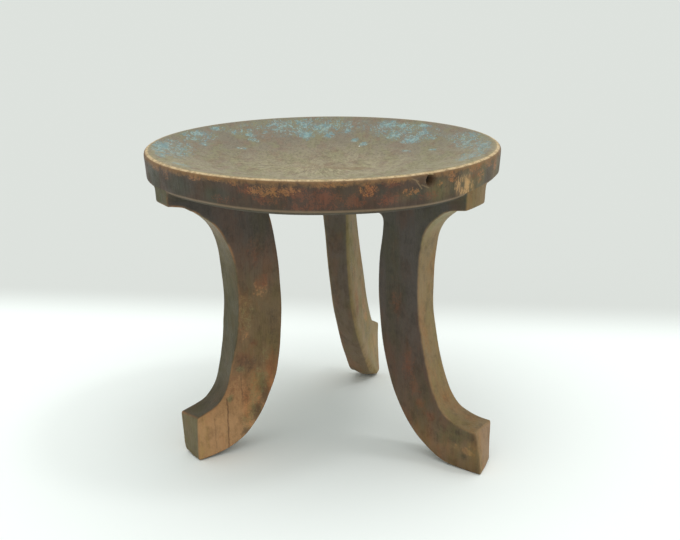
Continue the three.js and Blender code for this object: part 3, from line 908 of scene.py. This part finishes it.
def read_grid(table, start, step, x, z):
    """Values of a table of x by z between its points."""
    column = np.clip((x - start[0]) / step, 0, table.shape[0] - 1.001)
    row = np.clip((z - start[1]) / step, 0, table.shape[1] - 1.001)
    i, k = column.astype(int), row.astype(int)
    u, w = column - i, row - k
    low = table[i, k] * (1 - u) + table[i + 1, k] * u
    high = table[i, k + 1] * (1 - u) + table[i + 1, k + 1] * u
    return low * (1 - w) + high * w


def larger(a, b, reach):
    """The larger of two distances, rounded where they meet, which wears a corner round."""
    near = np.clip(1 - np.abs(a - b) / reach, 0, None)
    return np.maximum(a, b) + near**2 * reach / 4


def smaller(a, b, reach):
    """The smaller of two distances, rounded where they meet, which fills a hollow."""
    return -larger(-a, -b, reach)


def adze_waves(x, y, z, seed):
    """Slow unevenness of a hand-cut face, between about -1 and 1."""
    rng = np.random.default_rng(seed)
    total = 0
    for length in (22, 31, 43, 60, 85):
        way = rng.normal(size=3)
        way = way / np.linalg.norm(way) * 2 * math.pi / length
        total = total + np.sin(way[0] * x + way[1] * y + 0.6 * way[2] * z + rng.uniform(0, 6))
    return total / 3


def leg_faces(leg, tables, start, x, y, z):
    """Distances to a leg's edge faces, flat faces and end face, negative inside."""
    out = np.clip((x - TAB_START) / (SEAT_RADIUS - TAB_START), 0, 1) * (z > LEAN_HEIGHT)
    # The toe widens over 20 mm outwards, and from 15 to 40 mm above the floor.
    toe = np.clip((x - TOE_START) / 20, 0, 1) * np.clip((z - 15) / 25, 0, 1) * (z < LEAN_HEIGHT)
    thickness = leg["thickness"] + leg["taper"] * (x - TAPER_START)
    thickness = thickness + leg["tab_widen"] * out + leg["toe_flare"] * toe
    middle = leg["shift"] + math.tan(leg["lean"]) * (z - LEAN_HEIGHT) + leg["tab_swing"] * out
    middle = middle + leg["round_side"] * leg["toe_flare"] / 2 * toe
    aside = y - middle
    flat = np.abs(aside) - thickness / 2
    side = np.clip(aside / thickness + 0.5, 0, 1)
    edges = [read_grid(table, start, LEG_STEP, x, z) for table in tables]
    edge = edges[0] * (1 - side) + edges[1] * side
    height, reach, turn = zip(*leg["toe"])
    end = x - np.interp(z, height, reach) + aside * np.interp(z, height, turn)
    return edge, flat, np.where(z < TOE_TOP, end, FAR_INSIDE), aside


def seat_below(points):
    """Distances to the seat's underside and to its side, for points of the part."""
    place = part_to_seat(points)
    azimuth = np.arctan2(place[..., 1], place[..., 0])
    radius = np.hypot(place[..., 0], place[..., 1])
    drop = -place[..., 2]
    foot = SEAT_RADIUS - SIDE_TAPER
    under = drop - underside_drop(radius, azimuth)
    chamfer = (radius - foot) * CHAMFER_HEIGHT + (drop - side_depth(azimuth)) * CHAMFER_WIDTH
    chamfer = chamfer / math.hypot(CHAMFER_HEIGHT, CHAMFER_WIDTH)
    beside = radius - side_radius(azimuth, drop)
    return np.maximum(under, chamfer), np.where(drop < TAB_REACH, beside, FAR_INSIDE)


def leg_to_part(leg, x, y, z):
    cos, sin = math.cos(leg["azimuth"]), math.sin(leg["azimuth"])
    return np.stack(np.broadcast_arrays(cos * x - sin * y, sin * x + cos * y, z), -1)


def leg_skin(values, start, step):
    """The closed surface, in quads, around the part of a grid with negative values."""
    inside = values < 0
    cells = np.array(values.shape) - 1
    corners = [(i, j, k) for i in (0, 1) for j in (0, 1) for k in (0, 1)]
    count = np.zeros(cells, np.int8)
    for i, j, k in corners:
        count += inside[i : i + cells[0], j : j + cells[1], k : k + cells[2]]
    cut = np.argwhere((count > 0) & (count < 8))
    number = np.full(cells, -1)
    number[tuple(cut.T)] = np.arange(len(cut))

    total = np.zeros((len(cut), 3))
    hits = np.zeros(len(cut))
    for corner in corners:
        for axis in range(3):
            if corner[axis] == 0:
                other = np.array(corner)
                other[axis] = 1
                a = values[tuple((cut + corner).T)]
                b = values[tuple((cut + other).T)]
                crossed = (a < 0) != (b < 0)
                share = np.where(crossed, a / np.where(crossed, a - b, 1), 0)
                point = corner + share[:, None] * (other - corner)
                total += point * crossed[:, None]
                hits += crossed
    points = start + step * (cut + total / hits[:, None])

    faces = []
    for axis in range(3):
        u, v = (axis + 1) % 3, (axis + 2) % 3
        before = np.swapaxes(inside, 0, axis)[:-1]
        after = np.swapaxes(inside, 0, axis)[1:]
        change = np.swapaxes(before != after, 0, axis)
        edges = np.argwhere(change)
        leaving = inside[tuple(edges.T)]
        back_u = np.eye(3, dtype=int)[u]
        back_v = np.eye(3, dtype=int)[v]
        quads = [edges, edges - back_u, edges - back_u - back_v, edges - back_v]
        quads = np.stack([number[tuple(q.T)] for q in quads], 1)
        quads[~leaving] = quads[~leaving][:, ::-1]
        faces.append(quads)
    return points, np.vstack(faces).tolist()


def crack_marks(leg, aside, x, z):
    """How dark and how deep the drying cracks are in a leg's front flat side."""
    dark = np.zeros_like(aside)
    deep = dark
    for x0, z0, x1, z1, width, depth in leg["cracks"]:
        length = math.hypot(x1 - x0, z1 - z0)
        along = np.clip(((x - x0) * (x1 - x0) + (z - z0) * (z1 - z0)) / length**2, 0, 1)
        wander = 0.2 * np.sin(z * 0.4) + 0.15 * np.sin(z * 1.1 + 1)
        away = np.hypot(x - x0 - along * (x1 - x0) - wander, z - z0 - along * (z1 - z0))
        line = np.clip(1 - away / (width / 2), 0, 1) * (-leg["round_side"] * aside > 0)
        dark = np.maximum(dark, line * min(1.0, depth + 0.15))
        deep = np.maximum(deep, line * depth)
    return dark, deep


def leg_body(leg, tables, start, x, y, z):
    """How far each place lies outside a leg, or inside it where negative."""
    edge, flat, end, aside = leg_faces(leg, tables, start, x, y, z)
    inward = np.clip((np.interp(z, *zip(*MIDDLE_LINE)) - x) / 8, 0, 1) * (-leg["round_side"] * aside > 0)
    soft = ARRIS + (np.interp(z, *zip(*leg["soft_arris"])) - ARRIS) * inward
    slab = larger(larger(edge, flat, soft), end, ARRIS)
    slab = slab + crack_marks(leg, aside, x, z)[1]
    slab = slab + UNEVEN * adze_waves(x, y, z, leg["seed"])
    below, beside = seat_below(leg_to_part(leg, x, y, z))
    body = smaller(below, slab, HOLLOW)
    body = larger(body, beside + FLUSH, TAB_ARRIS)
    body = np.maximum(body, -below - LET_IN)
    body = np.maximum(body, slab - 0.9 * HOLLOW)
    worn = np.clip(leg["round_side"] * aside / 10, leg["foot_inside"], 1)
    return larger(body, -z, FOOT_ARRIS + (leg["foot_round"] - FOOT_ARRIS) * worn)


def draw_onto(body, points, rounds=2):
    """The points of a skin, each moved straight onto the surface it stands for."""
    for repeat in range(rounds):
        value = body(*points.T)
        slope = np.empty_like(points)
        for axis in range(3):
            reach = np.zeros(3)
            reach[axis] = 0.2
            slope[:, axis] = body(*(points + reach).T) - body(*(points - reach).T)
        slope = slope / 0.4
        steep = np.clip((slope**2).sum(1), 0.3, None)
        move = (value / steep)[:, None] * slope
        points = points - np.clip(move, -0.5, 0.5)
    return points


def flat_marks(x, z, marks):
    """Soft marks on a flat side: (distance out, height, width, length, strength)."""
    bare = np.ones_like(x)
    for middle, level, width, length, strength in marks:
        distance = np.hypot((x - middle) / (width / 2), (z - level) / (length / 2))
        bare = bare * (1 - strength * swell(distance, 1))
    return 1 - bare


def on_front(leg, aside, edge, flat):
    """1 on the flat side that is marked and 0 elsewhere."""
    return np.clip((flat - edge) / 1.5 + 0.5, 0, 1) * (-leg["round_side"] * aside > 0)


def build_leg(name, leg):
    low, high = np.array(LEG_BOX).T + (0, leg["shift"], 0)
    x, y, z = (np.arange(low[i], high[i], LEG_STEP) for i in range(3))
    tables = [outline_depth(leg_outline(leg, side), x, z) for side in (-1, 1)]
    start = (low[0], low[2])

    def body(x, y, z):
        return leg_body(leg, tables, start, x, y, z)

    points, faces = leg_skin(body(*np.ix_(x, y, z)), low, LEG_STEP)
    points = draw_onto(body, points)
    x, y, z = points.T
    piece = new_piece("leg_" + name + "_carved", leg_to_part(leg, x, y, z), faces)

    edge, flat, end, aside = leg_faces(leg, tables, start, x, y, z)
    below, beside = seat_below(leg_to_part(leg, x, y, z))
    faces_here = np.sort([edge, flat, end, beside], 0)
    outward = np.array([math.cos(leg["azimuth"]), math.sin(leg["azimuth"]), 0])
    normals = np.zeros(3 * len(points))
    piece.data.vertex_normals.foreach_get("vector", normals)
    facing_out = normals.reshape(-1, 3) @ outward
    on_edge = np.clip((edge - flat) / 1.5 + 0.5, 0, 1)
    front = on_front(leg, aside, edge, flat)
    masks = {
        "height": z,
        "arris": 1 + faces_here[-2] / WEAR_REACH,
        "outer": on_edge * (facing_out > 0),
        "inner": on_edge * (facing_out <= 0),
        "toe_end": np.clip((end - np.maximum(edge, flat)) / 2, 0, 1),
        "tab": np.clip((beside - np.maximum(edge, flat)) / 2 + 0.5, 0, 1),
        "joint": np.clip(1 - below / JOINT_REACH, 0, 1),
        "crack": front * crack_marks(leg, aside, x, z)[0],
        "cut": np.clip(-faces_here[-2] / 3, 0, 1) * np.clip(below / 4, 0, 1) * np.clip(z / 3, 0, 1),
    }
    for mark, places in leg["marks"].items():
        masks[mark] = front * flat_marks(x, z, places)
    for mask, values in masks.items():
        add_mask(piece, mask, values)
    return piece


def leg_wood(name, leg):
    """One leg's wood: darker higher up, bare and tan low down and along its corners, its faces partly
    painted light and shade.
    """
    material, tree, shader, place = new_material("leg wood " + name)
    height = mask_of(tree, "height")

    def by_height(stops):
        ramp = tree.nodes.new("ShaderNodeValToRGB")
        inputs = {"Value": height, "From Min": 0.0, "From Max": SEAT_HEIGHT}
        tree.links.new(add_node(tree, "ShaderNodeMapRange", inputs)[0], ramp.inputs[0])
        line = ramp.color_ramp
        while len(line.elements) < len(stops):
            line.elements.new(0.5)
        for element, (level, *colour) in zip(line.elements, stops):
            element.position = level / SEAT_HEIGHT
        for element, (level, *colour) in zip(line.elements, stops):
            element.color = tint(*colour)
        return ramp.outputs[0]

    def broken(mark, scale, amount):
        inputs = {"Mark": mask_of(tree, mark), "Place": place, "Scale": scale, "Ragged": amount}
        return add_group(tree, broken_mark, inputs)[0]

    def stain(mark, scale, soft, crisp):
        crisp = times(tree, broken(mark, scale, 3.0), crisp)
        return maths(tree, "ADD", times(tree, mask_of(tree, mark), soft), crisp, clamp=True)

    colour = lay_all(tree, by_height(leg["flat"]), (
        (stain("tan", 60, 0.35, 0.4), 1.0, (178, 134, 90)),
        (stain("red", 160, 0.4, 0.3), 1.0, (124, 76, 50)),
        (stain("dark", 150, 0.45, 0.3), 1.0, (66, 56, 42)),
        (stain("green", 220, 0.2, 0.5), 1.0, leg["moss"]),
        (mask_of(tree, "outer"), 1.0, by_height(leg["outer_face"])),
        (mask_of(tree, "inner"), 1.0, by_height(leg["inner_face"])),
        (mask_of(tree, "toe_end"), 1.0, leg["end_face"]),
        (broken("joint", 60, 0.3), 1.0, leg["joint_tone"]),
        (mask_of(tree, "tab"), 1.0, leg["tab_face"]),
    ))
    inputs = {"Place": place, "Colour": colour, "Grain": 0.12, "Blotches": 0.9, "Specks": 0.3}
    wood = add_group(tree, aged_wood, inputs)
    chafed = patches(tree, place, (55, 4, 0.6), 0.38, 0.64)
    wear = times(tree, share(tree, mask_of(tree, "arris"), 0.45, 0.95), chafed)
    colour = lay_all(tree, wood["Colour"], (
        (wear, 0.75, leg["wear"]),
        (mask_of(tree, "crack"), 0.8, (74, 52, 36)),
    ))
    inputs = {"Value": chafed, "To Min": 0.62, "To Max": 0.5}
    rough = add_node(tree, "ShaderNodeMapRange", inputs)[0]
    shader.inputs["Specular IOR Level"].default_value = 0.35
    join_shader(tree, shader, colour, rough, wood["Height"], strength=0.6, distance=0.0005)
    return material


for name, leg in LEGS.items():
    carved = build_leg(name, leg)
    wood = leg_wood(name, leg)
    finish_piece(carved, "leg_" + name, spacing=0.016, depth=0.0003, seed=leg["seed"], wood=wood)

# Floor and light
# A pale sheet that runs far back behind the stool, white where the stool stands and a soft grey-green
# beyond, which is painted shade. Soft light comes from all round, and a key from above the right.
FLOOR_SIZE = 24.0
FLOOR_NEAR = (0.94, 0.98, 0.97)
FLOOR_FAR_SHADE = (0.655, 0.672, 0.658)
FLOOR_TURN = 13.6  # degrees by which the edge of the white is turned
FLOOR_FADE = (0.25, 0.40)  # where the white ends, and where the grey begins
BACKGROUND = (0.735, 0.762, 0.728)
BRIGHTNESS = 0.76  # of the background
AMBIENT = 0.66  # strength of the light from all round
LAMPS = {  # strength, direction it comes from, height and width in degrees
    "key": (0.26, -12, 62, 9),
    "overhead": (1.26, -40, 84, 70),
}

bpy.ops.mesh.primitive_plane_add(size=FLOOR_SIZE, location=(0, 0, 0))
floor = bpy.context.object
floor.name = "floor"
paper, tree, shader, place = new_material("paper")
shader.inputs["Roughness"].default_value = 0.9
shader.inputs["Specular IOR Level"].default_value = 0.0
inputs = {"Vector": place, "Rotation": (0, 0, math.radians(FLOOR_TURN))}
turned = add_node(tree, "ShaderNodeMapping", inputs)[0]
fade = share(tree, add_node(tree, "ShaderNodeSeparateXYZ", {0: turned})["Y"], *FLOOR_FADE)
# Painted shade: the far floor is painted grey-green.
tone = lay_over(tree, fade, (*FLOOR_NEAR, 1), (*FLOOR_FAR_SHADE, 1))
tree.links.new(tone, shader.inputs["Base Color"])
floor.data.materials.append(paper)

world = bpy.data.worlds.new("world")
bpy.context.scene.world = world
world.use_nodes = True
tree = world.node_tree
seen = add_node(tree, "ShaderNodeLightPath", {})
seen = maths(tree, "ADD", seen["Is Camera Ray"], seen["Is Glossy Ray"], clamp=True)
inputs = {"Value": seen, "To Min": AMBIENT / BRIGHTNESS, "To Max": 1.0}
strength = add_node(tree, "ShaderNodeMapRange", inputs)
tree.nodes["Background"].inputs["Color"].default_value = (*BACKGROUND, 1)
tree.links.new(strength[0], tree.nodes["Background"].inputs["Strength"])

for name, (strength, direction, height, width) in LAMPS.items():
    lamp_data = bpy.data.lights.new(name, "SUN")
    lamp_data.energy = strength
    lamp_data.angle = math.radians(width)
    lamp = bpy.data.objects.new(name, lamp_data)
    lamp.rotation_euler = (0, math.radians(90 - height), math.radians(direction))
    bpy.context.scene.collection.objects.link(lamp)

bpy.context.scene.view_settings.view_transform = "Standard"
